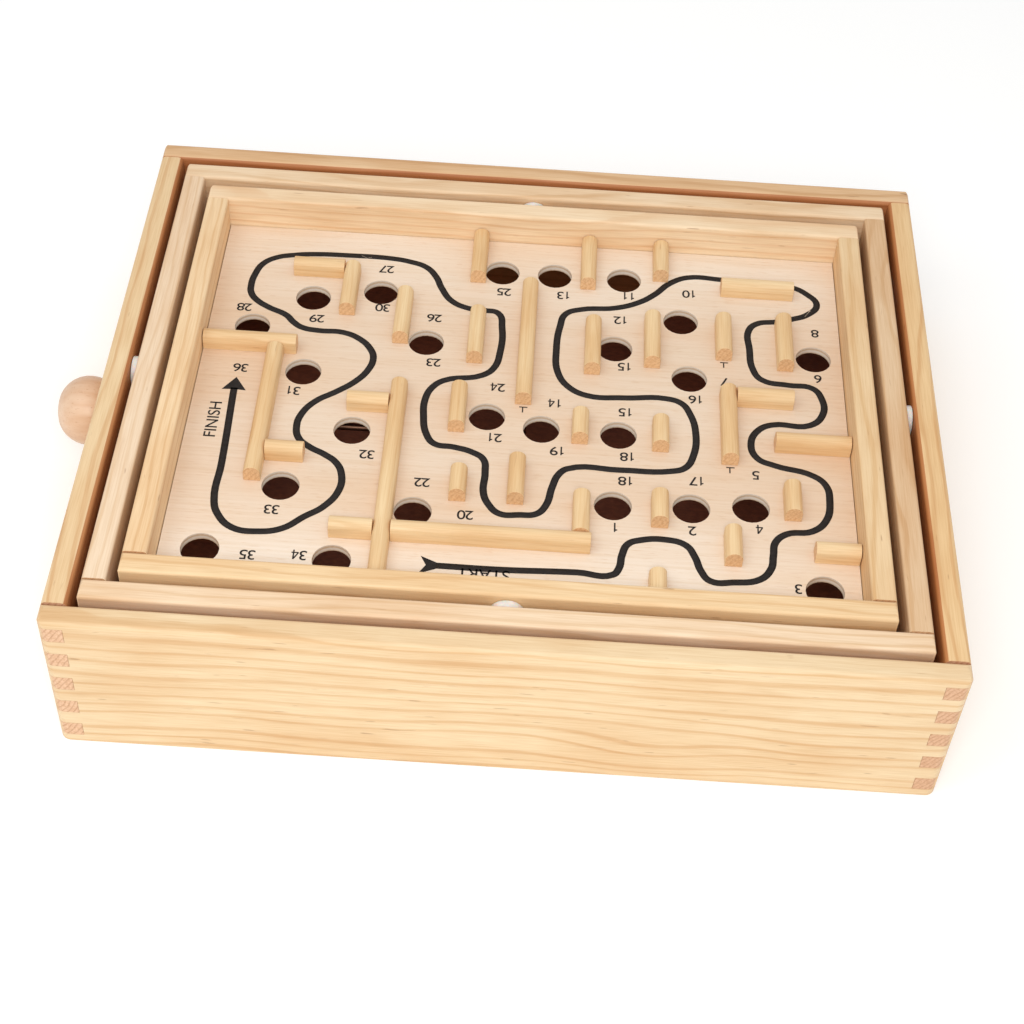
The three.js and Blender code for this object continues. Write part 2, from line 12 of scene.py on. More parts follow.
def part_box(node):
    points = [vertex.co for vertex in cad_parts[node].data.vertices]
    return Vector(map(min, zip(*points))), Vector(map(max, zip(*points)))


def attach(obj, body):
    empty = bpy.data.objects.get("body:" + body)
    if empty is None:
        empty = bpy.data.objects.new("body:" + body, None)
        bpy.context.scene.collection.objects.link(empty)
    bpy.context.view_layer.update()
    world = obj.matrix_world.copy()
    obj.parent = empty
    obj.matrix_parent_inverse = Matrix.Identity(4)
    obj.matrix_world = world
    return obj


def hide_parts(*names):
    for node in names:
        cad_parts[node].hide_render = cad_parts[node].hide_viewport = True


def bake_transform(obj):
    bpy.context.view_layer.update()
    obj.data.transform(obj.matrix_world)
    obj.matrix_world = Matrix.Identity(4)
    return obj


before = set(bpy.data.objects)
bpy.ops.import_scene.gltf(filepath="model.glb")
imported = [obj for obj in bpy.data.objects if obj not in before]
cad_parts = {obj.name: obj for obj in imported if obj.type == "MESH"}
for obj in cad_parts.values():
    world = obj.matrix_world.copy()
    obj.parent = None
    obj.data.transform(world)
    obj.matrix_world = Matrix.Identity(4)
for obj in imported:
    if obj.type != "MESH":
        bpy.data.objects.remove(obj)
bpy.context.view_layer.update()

MM = 0.001

# ---- Places taken from the frame
BOARD_LOW, BOARD_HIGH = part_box("maze_board")
BOARD_TOP = BOARD_HIGH.z / MM
BOARD_EDGE_X = BOARD_HIGH.x / MM
BOARD_EDGE_Y = BOARD_HIGH.y / MM

# ---- Strips, knobs, strings and print, in millimetres
STRIP_WIDTH = 6.0
STRIP_ROUNDING = 0.49
STRIP_END_BEVEL = 0.25
# The strips of the joined groups: direction, place across, and the two ends.
JOINED_STRIPS = {
    "strip_hook": [("run", 68.3, -67.0, -42.5), ("cross", -65.7, 71.4, 91.0)],
    "strip_branch": [
        ("cross", -22.7, 84.7, BOARD_EDGE_X),
        ("run", 92.3, -19.6, 44.0),
        ("cross", 31.2, 75.5, 89.2),
    ],
    "strip_tree": [
        ("run", 44.7, -5.3, BOARD_EDGE_Y),
        ("cross", 4.5, 47.8, 63.0),
        ("cross", 64.7, -27.0, 41.6),
        ("cross", 64.7, 47.8, 62.8),
        ("run", -23.4, 43.2, 61.6),
    ],
    "strip_corner": [("run", -76.0, -12.9, 22.2), ("cross", -9.9, -100.0, -79.1)],
}
# Knob rings: distance from the neck and radius.
KNOB_RINGS = [
    (0.0, 7.9), (0.9, 9.0), (2.2, 10.5), (4.0, 11.8), (6.2, 12.6), (8.6, 12.9), (11.0, 12.8), (13.2, 12.2),
    (15.2, 11.2), (16.9, 9.9), (18.3, 8.3), (19.3, 6.6), (19.85, 4.9), (20.0, 3.0),
]
# How far past its shaft a string's turn reaches.
STRING_ROOM = 1.2
# The print stands this far above the board, so that the two faces don't flicker.
INK_LIFT = 0.03
INK_THICKNESS = 0.05
ROUTE_WIDTH = 2.6

# ---- Camera: behind the game and above it, with its own right and forward directions
CAMERA_PLACE = (-1.7, 491.8, 562.0)
CAMERA_LENS = 68.15
CAMERA_SENSOR = 36.0
CAMERA_SHIFT = -0.0605
CAMERA_RIGHT = (-0.99793, -0.05079, 0.03947)
CAMERA_FORWARD = (0.00539, -0.67745, -0.73555)

# ---- Light: an even white surround, a soft lamp by the camera, and a softer one from the knob's side
WORLD_STRENGTH = 0.74
FRONT_PLACE = (0, 560, 640)
FRONT_SIZE = 320
FRONT_POWER = 2.3
KEY_PLACE = (420, 300, 760)
KEY_SIZE = 480
KEY_POWER = 1.1
LIGHT_AIM = (0, 0, 40)
FLOOR_SIZE = 6
FLOOR_GLOW = 0.13


# ---- Small tools
def select_only(piece):
    bpy.ops.object.select_all(action="DESELECT")
    piece.select_set(True)
    bpy.context.view_layer.objects.active = piece


def in_edit_mode(piece, *steps):
    select_only(piece)
    bpy.ops.object.mode_set(mode="EDIT")
    bpy.ops.mesh.select_all(action="SELECT")
    for step in steps:
        step()
    bpy.ops.object.mode_set(mode="OBJECT")


def apply_modifier(piece, kind, **settings):
    select_only(piece)
    modifier = piece.modifiers.new(kind.title(), kind)
    for name, value in settings.items():
        setattr(modifier, name, value)
    bpy.ops.object.modifier_apply(modifier=modifier.name)


def smooth(piece, degrees=35):
    """Soft shading over round edges while the flats stay flat."""
    select_only(piece)
    bpy.ops.object.shade_smooth_by_angle(angle=math.radians(degrees))
    apply_modifier(piece, "WEIGHTED_NORMAL", keep_sharp=True)


def finish_piece(piece, body, material):
    piece.data.materials.clear()
    piece.data.materials.append(material)
    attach(piece, body)


def put_in_mesh(piece, matrix):
    """The place goes into the mesh, and the object stays at the origin."""
    piece.data.transform(matrix)
    piece.matrix_world = Matrix.Identity(4)


# ---- Materials
# How far round a knot the growth lines bend, and how far they are pushed, in millimetres.
KNOT_REACH = 20.0
KNOT_PUSH = 7.0
# The Mix node's sockets for colours, which share their names with its other sockets.
MIX_FACTOR = 0
MIX_FIRST = 6
MIX_SECOND = 7
MIX_RESULT = 2


def colour(hex_text):
    """An sRGB hex value as a linear RGBA colour."""
    channels = [int(hex_text[i : i + 2], 16) / 255 for i in (1, 3, 5)]
    linear = [c / 12.92 if c <= 0.04045 else ((c + 0.055) / 1.055) ** 2.4 for c in channels]
    return (*linear, 1.0)


def node(tree, kind, inputs=(), out=None, stops=(), **settings):
    """Adds one node, sets its properties and its ramp's stops, and sets or links its inputs, a dict by socket
    or a list in order. It gives the output socket called out, or the whole node."""
    made = tree.nodes.new(kind)
    for name, value in settings.items():
        setattr(made, name, value)
    while stops and len(made.color_ramp.elements) < len(stops):
        made.color_ramp.elements.new(0.5)
    for index, (position, shade) in enumerate(stops):
        made.color_ramp.elements[index].position = position
        made.color_ramp.elements[index].color = shade
    pairs = inputs.items() if isinstance(inputs, dict) else enumerate(inputs)
    for socket, value in pairs:
        if isinstance(value, bpy.types.NodeSocket):
            tree.links.new(value, made.inputs[socket])
        else:
            made.inputs[socket].default_value = value
    return made if out is None else made.outputs[out]


def new_material(name):
    material = bpy.data.materials.new(name)
    material.use_nodes = True
    tree = material.node_tree
    tree.nodes.clear()
    shader = node(tree, "ShaderNodeBsdfPrincipled")
    node(tree, "ShaderNodeOutputMaterial", {"Surface": shader.outputs["BSDF"]})
    return material, tree, shader


def millimetres(tree):
    """Object coordinates in millimetres, as separate X, Y and Z sockets."""
    coordinates = node(tree, "ShaderNodeTexCoord")
    scaled = node(tree, "ShaderNodeVectorMath", {0: coordinates.outputs["Object"]}, operation="SCALE")
    scaled.inputs["Scale"].default_value = 1 / MM
    split = node(tree, "ShaderNodeSeparateXYZ", {"Vector": scaled.outputs["Vector"]})
    return coordinates, split.outputs["X"], split.outputs["Y"], split.outputs["Z"]


def stretched_noise(tree, along, across, up, length, width, detail=2.0, offset=0.0):
    """Noise drawn out along the grain: length and width are the size of its grains in mm."""
    point = node(
        tree,
        "ShaderNodeCombineXYZ",
        {
            "X": node(
                tree,
                "ShaderNodeMath",
                [along, 1 / length, offset],
                "Value",
                operation="MULTIPLY_ADD",
            ),
            "Y": node(tree, "ShaderNodeMath", [across, 1 / width], "Value", operation="MULTIPLY"),
            "Z": node(tree, "ShaderNodeMath", [up, 1 / width], "Value", operation="MULTIPLY"),
        },
    )
    made = node(
        tree,
        "ShaderNodeTexNoise",
        {"Vector": point.outputs["Vector"], "Scale": 1.0, "Detail": detail, "Roughness": 0.55},
    )
    return made.outputs["Fac"]


def growth_lines(tree, count, crest):
    """One soft dark line per year: a slow rise to the late wood at crest, then a quick fall."""
    line = node(
        tree,
        "ShaderNodeFloatCurve",
        {"Value": node(tree, "ShaderNodeMath", [count], "Value", operation="FRACT")},
    )
    curve = line.mapping.curves[0]
    curve.points[0].location = (0.0, 0.2)
    curve.points[1].location = (1.0, 0.2)
    for position, height in ((0.1, 0.03), (crest - 0.3, 0.06), (crest - 0.08, 0.55), (crest, 1.0)):
        curve.points.new(position, height)
    line.mapping.update()
    return line.outputs["Value"]


def pine(
    name,
    grain,
    pale,
    late,
    end,
    pith=(-80.0, -50.0),
    ring=4.5,
    wander=6.0,
    seed=0.0,
    streaks=0.5,
    tint="#F0DFCB",
    contrast=0.75,
    end_contrast=0.55,
    knot=None,
    inside=None,
):
    """Planed and lightly sanded softwood: pale early wood with soft darker late-wood lines, fine fibres,
    a few short resin streaks, slow changes of tint, and a pinkish end grain with slanting lines.
    grain is the row axis it runs along, pith the middle of the tree (across, up) in mm, ring the growth
    of a year in mm, knot (along, up) a place where the lines bend round a knot below the surface, and
    inside a painted shade: a darker reddish colour multiplied onto the faces that look towards the middle
    of the game, in place of the shade and the bounce light from the ramp inside the case."""
    material, tree, shader = new_material(name)
    coordinates, x, y, up = millimetres(tree)
    along, across = (x, y) if grain == "X" else (y, x)

    drift = stretched_noise(tree, along, across, up, 120.0, 45.0, 1.0, seed)
    wobble = stretched_noise(tree, along, across, up, 24.0, 10.0, 2.0, seed + 7)
    from_pith = node(
        tree,
        "ShaderNodeCombineXYZ",
        {
            "Y": node(tree, "ShaderNodeMath", [across, pith[0]], "Value", operation="SUBTRACT"),
            "Z": node(tree, "ShaderNodeMath", [up, pith[1]], "Value", operation="SUBTRACT"),
        },
    )
    radius = node(tree, "ShaderNodeVectorMath", {0: from_pith.outputs["Vector"]}, operation="LENGTH")
    distance = node(
        tree,
        "ShaderNodeMath",
        [drift, wander * 2, radius.outputs["Value"]],
        "Value",
        operation="MULTIPLY_ADD",
    )
    distance = node(tree, "ShaderNodeMath", [wobble, 1.3, distance], "Value", operation="MULTIPLY_ADD")
    if knot:
        offset = node(
            tree,
            "ShaderNodeCombineXYZ",
            {
                "X": node(
                    tree,
                    "ShaderNodeMath",
                    [node(tree, "ShaderNodeMath", [along, knot[0]], "Value", operation="SUBTRACT"), 0.45],
                    "Value",
                    operation="MULTIPLY",
                ),
                "Y": node(tree, "ShaderNodeMath", [up, knot[1]], "Value", operation="SUBTRACT"),
            },
        )
        reach = node(tree, "ShaderNodeVectorMath", {0: offset.outputs["Vector"]}, operation="LENGTH")
        bulge = node(
            tree,
            "ShaderNodeMapRange",
            {
                "Value": reach.outputs["Value"],
                "From Min": 0.0,
                "From Max": KNOT_REACH,
                "To Min": KNOT_PUSH,
                "To Max": 0.0,
            },
            interpolation_type="SMOOTHSTEP",
        )
        distance = node(
            tree,
            "ShaderNodeMath",
            [distance, bulge.outputs["Result"]],
            "Value",
            operation="ADD",
        )
    # The years' widths differ, so the lines crowd in places.
    uneven = node(
        tree,
        "ShaderNodeTexNoise",
        {
            "W": node(tree, "ShaderNodeMath", [distance, 0.07, seed], "Value", operation="MULTIPLY_ADD"),
            "Scale": 1.0,
            "Detail": 1.0,
        },
        noise_dimensions="1D",
    )
    count = node(tree, "ShaderNodeMath", [distance, 1 / ring, seed], "Value", operation="MULTIPLY_ADD")
    count = node(
        tree,
        "ShaderNodeMath",
        [uneven.outputs["Fac"], 1.6, count],
        "Value",
        operation="MULTIPLY_ADD",
    )
    late_wood = growth_lines(tree, count, 0.84)

    fade = stretched_noise(tree, along, across, up, 60.0, 7.0, 1.0, seed + 3)
    fade = node(tree, "ShaderNodeMapRange", {"Value": fade, "From Min": 0.3, "From Max": 0.7, "To Min": 0.55})
    strength = node(
        tree,
        "ShaderNodeMath",
        [late_wood, fade.outputs["Result"]],
        "Value",
        operation="MULTIPLY",
    )
    strength = node(tree, "ShaderNodeMath", [strength, contrast], "Value", operation="MULTIPLY")
    body = node(
        tree,
        "ShaderNodeMix",
        {MIX_FACTOR: strength, MIX_FIRST: colour(pale), MIX_SECOND: colour(late)},
        MIX_RESULT,
        data_type="RGBA",
        blend_type="MIX",
    )

    # Fibres are drawn 0.5 mm wide, coarser than real ones, so that they show at arm's length.
    fibre = stretched_noise(tree, along, across, up, 16.0, 0.5, 3.0, seed)
    fibre_tone = node(
        tree,
        "ShaderNodeValToRGB",
        {"Fac": fibre},
        "Color",
        stops=[(0.3, colour("#EADFD0")), (0.62, colour("#FFFFFF"))],
    )
    body = node(
        tree,
        "ShaderNodeMix",
        {MIX_FACTOR: 0.6, MIX_FIRST: body, MIX_SECOND: fibre_tone},
        MIX_RESULT,
        data_type="RGBA",
        blend_type="MULTIPLY",
    )
    patch = stretched_noise(tree, along, across, up, 55.0, 16.0, 2.0, seed + 11)
    patch_tone = node(
        tree,
        "ShaderNodeValToRGB",
        {"Fac": patch},
        "Color",
        stops=[(0.34, colour(tint)), (0.62, colour("#FFFFFF"))],
    )
    body = node(
        tree,
        "ShaderNodeMix",
        {MIX_FACTOR: 0.55, MIX_FIRST: body, MIX_SECOND: patch_tone},
        MIX_RESULT,
        data_type="RGBA",
        blend_type="MULTIPLY",
    )

    resin = stretched_noise(tree, along, across, up, 8.0, 0.9, 0.0, seed + 5)
    resin = node(tree, "ShaderNodeMapRange", {"Value": resin, "From Min": 0.81, "From Max": 0.88})
    resin = node(
        tree,
        "ShaderNodeMath",
        [resin.outputs["Result"], streaks],
        "Value",
        operation="MULTIPLY",
    )
    body = node(
        tree,
        "ShaderNodeMix",
        {MIX_FACTOR: resin, MIX_FIRST: body, MIX_SECOND: colour("#8F5D38")},
        MIX_RESULT,
        data_type="RGBA",
        blend_type="MIX",
    )

    normal = node(tree, "ShaderNodeSeparateXYZ", {"Vector": coordinates.outputs["Normal"]})
    facing = node(tree, "ShaderNodeMath", [normal.outputs[grain]], "Value", operation="ABSOLUTE")
    cut_face = node(tree, "ShaderNodeMapRange", {"Value": facing, "From Min": 0.7, "From Max": 0.9})
    slant = node(
        tree,
        "ShaderNodeMath",
        [across, 0.8, node(tree, "ShaderNodeMath", [up, 0.55], "Value", operation="MULTIPLY")],
        "Value",
        operation="MULTIPLY_ADD",
    )
    slant = node(tree, "ShaderNodeMath", [wobble, 3.0, slant], "Value", operation="MULTIPLY_ADD")
    end_lines = growth_lines(
        tree,
        node(tree, "ShaderNodeMath", [slant, 0.62], "Value", operation="MULTIPLY"),
        0.8,
    )
    end_lines = node(tree, "ShaderNodeMath", [end_lines, end_contrast], "Value", operation="MULTIPLY")
    end_tone = node(
        tree,
        "ShaderNodeMix",
        {MIX_FACTOR: end_lines, MIX_FIRST: colour(end), MIX_SECOND: colour("#BE8A66")},
        MIX_RESULT,
        data_type="RGBA",
        blend_type="MIX",
    )
    pores = stretched_noise(tree, along, across, up, 1.0, 0.8, 2.0, seed)
    end_pores = node(
        tree,
        "ShaderNodeValToRGB",
        {"Fac": pores},
        "Color",
        stops=[(0.35, colour("#E2D0BE")), (0.6, colour("#FFFFFF"))],
    )
    end_tone = node(
        tree,
        "ShaderNodeMix",
        {MIX_FACTOR: 0.6, MIX_FIRST: end_tone, MIX_SECOND: end_pores},
        MIX_RESULT,
        data_type="RGBA",
        blend_type="MULTIPLY",
    )
    body = node(
        tree,
        "ShaderNodeMix",
        {MIX_FACTOR: cut_face.outputs["Result"], MIX_FIRST: body, MIX_SECOND: end_tone},
        MIX_RESULT,
        data_type="RGBA",
        blend_type="MIX",
    )

    # Painted shade: faces that look towards the middle of the game are multiplied by the inside colour, in
    # place of the shade and the ramp's reddish bounce light inside the case.
    if inside:
        towards = node(
            tree,
            "ShaderNodeVectorMath",
            {0: coordinates.outputs["Normal"], 1: coordinates.outputs["Object"]},
            operation="DOT_PRODUCT",
        )
        inner_face_painted_shade = node(
            tree,
            "ShaderNodeMath",
            [towards.outputs["Value"], -0.02],
            "Value",
            operation="LESS_THAN",
        )
        body = node(
            tree,
            "ShaderNodeMix",
            {MIX_FACTOR: inner_face_painted_shade, MIX_FIRST: body, MIX_SECOND: colour(inside)},
            MIX_RESULT,
            data_type="RGBA",
            blend_type="MULTIPLY",
        )

    tree.links.new(body, shader.inputs["Base Color"])
    gloss = node(
        tree,
        "ShaderNodeMapRange",
        {"Value": fibre, "From Min": 0.3, "From Max": 0.7, "To Min": 0.62, "To Max": 0.48},
    )
    tree.links.new(gloss.outputs["Result"], shader.inputs["Roughness"])
    relief = node(tree, "ShaderNodeMath", [strength, 0.6, fibre], "Value", operation="MULTIPLY_ADD")
    relief = node(tree, "ShaderNodeMath", [pores, 0.25, relief], "Value", operation="MULTIPLY_ADD")
    bump = node(tree, "ShaderNodeBump", {"Height": relief, "Strength": 0.22, "Distance": 0.00012})
    tree.links.new(bump.outputs["Normal"], shader.inputs["Normal"])
    shader.inputs["IOR"].default_value = 1.46
    return material


def plywood(name):
    """Rotary-cut poplar plywood: a calm, pale pinkish veneer with fine level grain, and thin glued
    layers that show in the walls of the holes."""
    material, tree, shader = new_material(name)
    coordinates, x, y, up = millimetres(tree)
    grain_lines = stretched_noise(tree, x, y, up, 38.0, 1.1, 4.0)
    cloud = stretched_noise(tree, x, y, up, 90.0, 30.0, 2.0, 4.0)
    flecks = stretched_noise(tree, x, y, up, 5.0, 0.6, 1.0, 9.0)
    body = node(
        tree,
        "ShaderNodeValToRGB",
        {"Fac": grain_lines},
        "Color",
        stops=[(0.3, colour("#ECDAC4")), (0.5, colour("#F1E2D0")), (0.7, colour("#F4E6D6"))],
    )
    tint = node(
        tree,
        "ShaderNodeValToRGB",
        {"Fac": cloud},
        "Color",
        stops=[(0.32, colour("#F8EADB")), (0.66, colour("#FFFFFF"))],
    )
    body = node(
        tree,
        "ShaderNodeMix",
        {MIX_FACTOR: 0.7, MIX_FIRST: body, MIX_SECOND: tint},
        MIX_RESULT,
        data_type="RGBA",
        blend_type="MULTIPLY",
    )
    # Painted light: the board is left full bright near the front and back rails and is a little darker and
    # pinker towards its middle, which offsets the shade beside the rails.
    from_middle = node(
        tree,
        "ShaderNodeMath",
        [node(tree, "ShaderNodeMath", [y], "Value", operation="ABSOLUTE"), 1 / BOARD_EDGE_Y],
        "Value",
        operation="MULTIPLY",
    )
    rail_side_painted_light = node(
        tree,
        "ShaderNodeValToRGB",
        {"Fac": from_middle},
        "Color",
        stops=[(0.45, colour("#F4EBE2")), (0.85, colour("#FFFFFF"))],
    )
    body = node(
        tree,
        "ShaderNodeMix",
        {MIX_FACTOR: 1.0, MIX_FIRST: body, MIX_SECOND: rail_side_painted_light},
        MIX_RESULT,
        data_type="RGBA",
        blend_type="MULTIPLY",
    )
    fleck_tone = node(
        tree,
        "ShaderNodeValToRGB",
        {"Fac": flecks},
        "Color",
        stops=[(0.28, colour("#DDBE98")), (0.4, colour("#FFFFFF"))],
    )
    body = node(
        tree,
        "ShaderNodeMix",
        {MIX_FACTOR: 0.22, MIX_FIRST: body, MIX_SECOND: fleck_tone},
        MIX_RESULT,
        data_type="RGBA",
        blend_type="MULTIPLY",
    )
    normal = node(tree, "ShaderNodeSeparateXYZ", {"Vector": coordinates.outputs["Normal"]})
    side = node(
        tree,
        "ShaderNodeMath",
        [1.0, node(tree, "ShaderNodeMath", [normal.outputs["Z"]], "Value", operation="ABSOLUTE")],
        "Value",
        operation="SUBTRACT",
    )
    side = node(tree, "ShaderNodeMapRange", {"Value": side, "From Min": 0.3, "From Max": 0.7})
    layer = node(
        tree,
        "ShaderNodeMath",
        [node(tree, "ShaderNodeMath", [up, BOARD_LOW.z / MM], "Value", operation="SUBTRACT"), 1.0],
        "Value",
        operation="PINGPONG",
    )
    torn = stretched_noise(tree, x, y, up, 0.9, 0.9, 3.0, 2.0)
    layer = node(tree, "ShaderNodeMath", [torn, 0.5, layer], "Value", operation="MULTIPLY_ADD")
    edge = node(
        tree,
        "ShaderNodeValToRGB",
        {"Fac": layer},
        "Color",
        stops=[(0.35, colour("#DDBF9E")), (0.75, colour("#F0DFCB")), (1.0, colour("#F6E9DA"))],
    )
    body = node(
        tree,
        "ShaderNodeMix",
        {MIX_FACTOR: side.outputs["Result"], MIX_FIRST: body, MIX_SECOND: edge},
        MIX_RESULT,
        data_type="RGBA",
        blend_type="MIX",
    )
    tree.links.new(body, shader.inputs["Base Color"])
    shader.inputs["Roughness"].default_value = 0.6
    shader.inputs["IOR"].default_value = 1.45
    relief = node(
        tree,
        "ShaderNodeMath",
        [
            grain_lines,
            node(tree, "ShaderNodeMath", [torn, side.outputs["Result"]], "Value", operation="MULTIPLY"),
        ],
        "Value",
        operation="ADD",
    )
    bump = node(tree, "ShaderNodeBump", {"Height": relief, "Strength": 0.18, "Distance": 0.00012})
    tree.links.new(bump.outputs["Normal"], shader.inputs["Normal"])
    return material


def screen_ink(name):
    """Screen-printed matt black ink: a little uneven, with hairline breaks where the veneer shows."""
    material, tree, shader = new_material(name)
    coordinates, x, y, up = millimetres(tree)
    mottled = stretched_noise(tree, x, y, up, 3.0, 1.2, 3.0)
    body = node(
        tree,
        "ShaderNodeValToRGB",
        {"Fac": mottled},
        "Color",
        stops=[(0.3, colour("#1E1A18")), (0.7, colour("#2C2725"))],
    )
    cracks = node(
        tree,
        "ShaderNodeTexVoronoi",
        {"Vector": coordinates.outputs["Object"], "Scale": 1 / (11 * MM), "Randomness": 1.0},
        feature="DISTANCE_TO_EDGE",
    )
    thin = node(
        tree,
        "ShaderNodeMath",
        [cracks.outputs["Distance"], 0.006],
        "Value",
        operation="LESS_THAN",
    )
    rare = node(
        tree,
        "ShaderNodeMath",
        [stretched_noise(tree, x, y, up, 14.0, 14.0, 1.0, 3.0), 0.72],
        "Value",
        operation="GREATER_THAN",
    )
    gap = node(tree, "ShaderNodeMath", [thin, rare], "Value", operation="MULTIPLY")
    body = node(
        tree,
        "ShaderNodeMix",
        {MIX_FACTOR: gap, MIX_FIRST: body, MIX_SECOND: colour("#B9A794")},
        MIX_RESULT,
        data_type="RGBA",
        blend_type="MIX",
    )
    tree.links.new(body, shader.inputs["Base Color"])
    shader.inputs["Roughness"].default_value = 0.7
    shader.inputs["Specular IOR Level"].default_value = 0.25
    bump = node(tree, "ShaderNodeBump", {"Height": mottled, "Strength": 0.15, "Distance": 0.00005})
    tree.links.new(bump.outputs["Normal"], shader.inputs["Normal"])
    return material


def turned_beech(name, grain):
    """Beech turned on a lathe: warm pinkish wood with faint bands along the grain, a few short flecks,
    fine rings left by the tool, and a thin satin wax. grain is the row axis the knob turns about."""
    material, tree, shader = new_material(name)
    _, x, y, up = millimetres(tree)
    along, across = (x, y) if grain == "X" else (y, x)
    bands = stretched_noise(tree, along, across, up, 26.0, 4.5, 2.0)
    body = node(
        tree,
        "ShaderNodeValToRGB",
        {"Fac": bands},
        "Color",
        stops=[(0.3, colour("#D2A783")), (0.5, colour("#DBB594")), (0.7, colour("#E2C1A3"))],
    )
    flecks = stretched_noise(tree, along, across, up, 2.4, 0.45, 1.0, 5.0)
    fleck_tone = node(
        tree,
        "ShaderNodeValToRGB",
        {"Fac": flecks},
        "Color",
        stops=[(0.26, colour("#C6946A")), (0.36, colour("#FFFFFF"))],
    )
    body = node(
        tree,
        "ShaderNodeMix",
        {MIX_FACTOR: 0.35, MIX_FIRST: body, MIX_SECOND: fleck_tone},
        MIX_RESULT,
        data_type="RGBA",
        blend_type="MULTIPLY",
    )
    tree.links.new(body, shader.inputs["Base Color"])
    shader.inputs["Roughness"].default_value = 0.4
    shader.inputs["IOR"].default_value = 1.47
    shader.inputs["Coat Weight"].default_value = 0.12
    shader.inputs["Coat Roughness"].default_value = 0.32
    tool_marks = node(
        tree,
        "ShaderNodeMath",
        [node(tree, "ShaderNodeMath", [along, 9.0], "Value", operation="MULTIPLY")],
        "Value",
        operation="SINE",
    )
    relief = node(tree, "ShaderNodeMath", [tool_marks, 0.1, bands], "Value", operation="MULTIPLY_ADD")
    bump = node(tree, "ShaderNodeBump", {"Height": relief, "Strength": 0.12, "Distance": 0.0001})
    tree.links.new(bump.outputs["Normal"], shader.inputs["Normal"])
    return material


def hardboard(name, dark, light, roughness):
    """Pressed hardboard: dark brown, smooth and slightly shiny, with matted fibres."""
    material, tree, shader = new_material(name)
    _, x, y, up = millimetres(tree)
    fibres = stretched_noise(tree, x, y, up, 2.6, 1.4, 4.0)
    body = node(
        tree,
        "ShaderNodeValToRGB",
        {"Fac": fibres},
        "Color",
        stops=[(0.35, colour(dark)), (0.68, colour(light))],
    )
    tree.links.new(body, shader.inputs["Base Color"])
    shader.inputs["Roughness"].default_value = roughness
    bump = node(tree, "ShaderNodeBump", {"Height": fibres, "Strength": 0.2, "Distance": 0.0001})
    tree.links.new(bump.outputs["Normal"], shader.inputs["Normal"])
    return material


def nylon(name):
    """Moulded natural nylon: milky white, lets a little light in, with a soft sheen."""
    material, tree, shader = new_material(name)
    _, x, y, up = millimetres(tree)
    haze = stretched_noise(tree, x, y, up, 4.0, 4.0, 2.0)
    body = node(
        tree,
        "ShaderNodeValToRGB",
        {"Fac": haze},
        "Color",
        stops=[(0.3, colour("#DDD6CF")), (0.7, colour("#F1EDE8"))],
    )
    tree.links.new(body, shader.inputs["Base Color"])
    shader.inputs["Roughness"].default_value = 0.32
    shader.inputs["IOR"].default_value = 1.53
    shader.inputs["Subsurface Weight"].default_value = 0.35
    shader.inputs["Subsurface Scale"].default_value = 1.5 * MM
    bump = node(tree, "ShaderNodeBump", {"Height": haze, "Strength": 0.05, "Distance": 0.0001})
    tree.links.new(bump.outputs["Normal"], shader.inputs["Normal"])
    return material


def metal(name, dark, light, roughness, brush):
    """Bare steel: brush is the length in mm of the fine drawing lines, or 0 for a polished ball."""
    material, tree, shader = new_material(name)
    _, x, y, up = millimetres(tree)
    lines = stretched_noise(tree, x, y, up, max(brush, 2.0), 0.8 if brush else 2.0, 3.0)
    body = node(
        tree,
        "ShaderNodeValToRGB",
        {"Fac": lines},
        "Color",
        stops=[(0.3, colour(dark)), (0.7, colour(light))],
    )
    tree.links.new(body, shader.inputs["Base Color"])
    shader.inputs["Metallic"].default_value = 1.0
    shine = node(
        tree,
        "ShaderNodeMapRange",
        {"Value": lines, "From Min": 0.3, "From Max": 0.7, "To Min": roughness, "To Max": roughness + 0.08},
    )
    tree.links.new(shine.outputs["Result"], shader.inputs["Roughness"])
    return material


def braided_cord(name):
    """Thin braided polyester cord, off-white and matt, with strands laid over each other."""
    material, tree, shader = new_material(name)
    _, x, y, _ = millimetres(tree)
    crossing = node(
        tree,
        "ShaderNodeMath",
        [
            node(
                tree,
                "ShaderNodeMath",
                [node(tree, "ShaderNodeMath", [x, y], "Value", operation="ADD"), 7.0],
                "Value",
                operation="MULTIPLY",
            ),
        ],
        "Value",
        operation="SINE",
    )
    strands = node(tree, "ShaderNodeMath", [crossing, 0.5, 0.5], "Value", operation="MULTIPLY_ADD")
    body = node(
        tree,
        "ShaderNodeValToRGB",
        {"Fac": strands},
        "Color",
        stops=[(0.0, colour("#B9A890")), (0.6, colour("#E6DAC6"))],
    )
    tree.links.new(body, shader.inputs["Base Color"])
    shader.inputs["Roughness"].default_value = 0.85
    bump = node(tree, "ShaderNodeBump", {"Height": strands, "Strength": 0.6, "Distance": 0.0001})
    tree.links.new(bump.outputs["Normal"], shader.inputs["Normal"])
    return material


# ---- Camera, light and floor
def set_camera():
    data = bpy.data.cameras.new("camera")
    data.sensor_width = CAMERA_SENSOR
    data.lens = CAMERA_LENS
    data.shift_y = CAMERA_SHIFT
    camera = bpy.data.objects.new("camera", data)
    bpy.context.scene.collection.objects.link(camera)
    camera.location = Vector(CAMERA_PLACE) * MM
    right = Vector(CAMERA_RIGHT)
    forward = Vector(CAMERA_FORWARD)
    up = right.cross(forward)
    turn = Matrix((right, up, -forward)).transposed()
    camera.rotation_euler = turn.to_euler()
    bpy.context.scene.camera = camera


def soft_light(name, place, size, power):
    data = bpy.data.lights.new(name, "AREA")
    data.shape = "DISK"
    data.size = size * MM
    data.energy = power
    lamp = bpy.data.objects.new(name, data)
    bpy.context.scene.collection.objects.link(lamp)
    lamp.location = Vector(place) * MM
    direction = (Vector(LIGHT_AIM) - Vector(place)).normalized()
    lamp.rotation_euler = direction.to_track_quat("-Z", "Y").to_euler()


